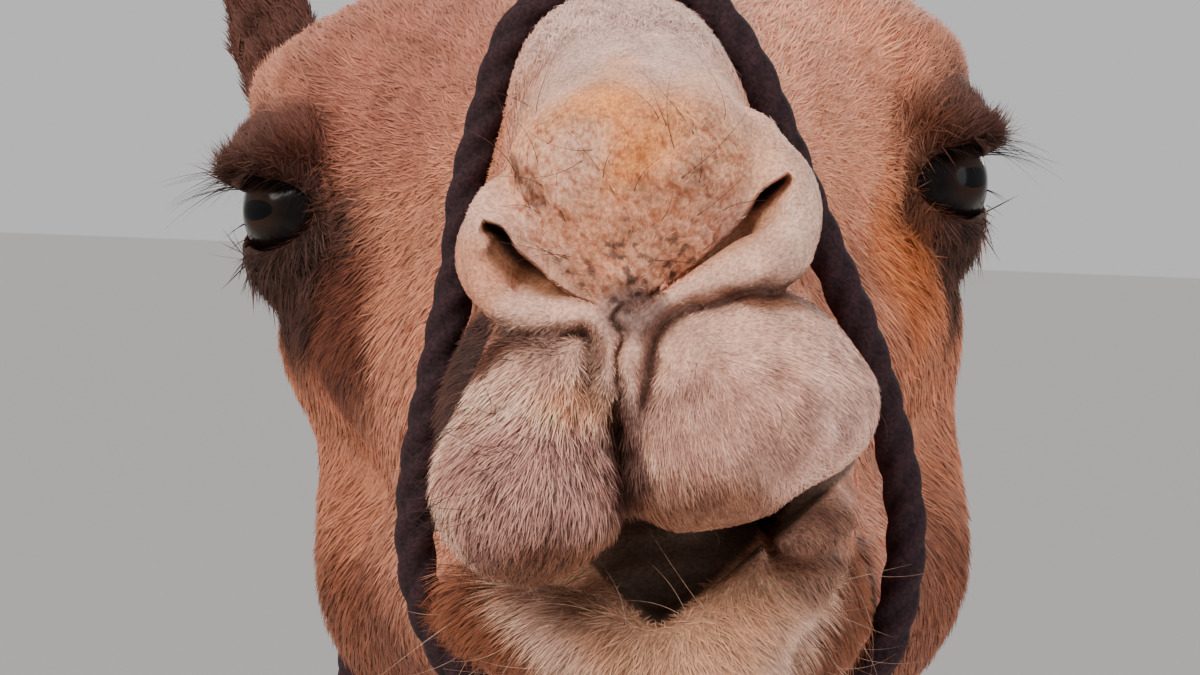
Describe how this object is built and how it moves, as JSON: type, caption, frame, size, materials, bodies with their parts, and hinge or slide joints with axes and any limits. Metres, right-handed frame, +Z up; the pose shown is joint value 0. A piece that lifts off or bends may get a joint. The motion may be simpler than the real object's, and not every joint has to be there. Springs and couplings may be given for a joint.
{
  "type": "dromedary camel model",
  "caption": "Life-size model of a standing dromedary camel with one hump, its head held high, jaw drawn aside in chewing, wearing a plain rope halter.",
  "frame": {"origin": "on the floor, under the middle of the animal's box", "axes": "+Z up, the animal faces -Y, +X is its left side"},
  "size_m": [0.6464, 2.5808, 2.2696],
  "materials": {
    "coat": "short dense fur, golden brown",
    "face_coat": "very short fur, pale pinkish beige on the muzzle",
    "foot": "short fur over a callous leathery pad, with horn nails",
    "eye": "wet and glossy, nearly black",
    "rope": "soft twisted rope, dark purple brown"
  },
  "bodies": {
    "root": {"ear_left": "coat", "ear_right": "coat", "eye_left": "eye", "eye_right": "eye", "forefoot_left": "foot", "forefoot_right": "foot", "foreleg_left": "coat", "foreleg_right": "coat", "halter_headstall": "rope", "halter_knot": "rope", "halter_noseband": "rope", "head": "face_coat", "hindfoot_left": "foot", "hindfoot_right": "foot", "hindleg_left": "coat", "hindleg_right": "coat", "hump": "coat", "lower_jaw": "face_coat", "neck": "coat", "tail": "coat", "trunk": "coat"}
  },
  "joints": []
}
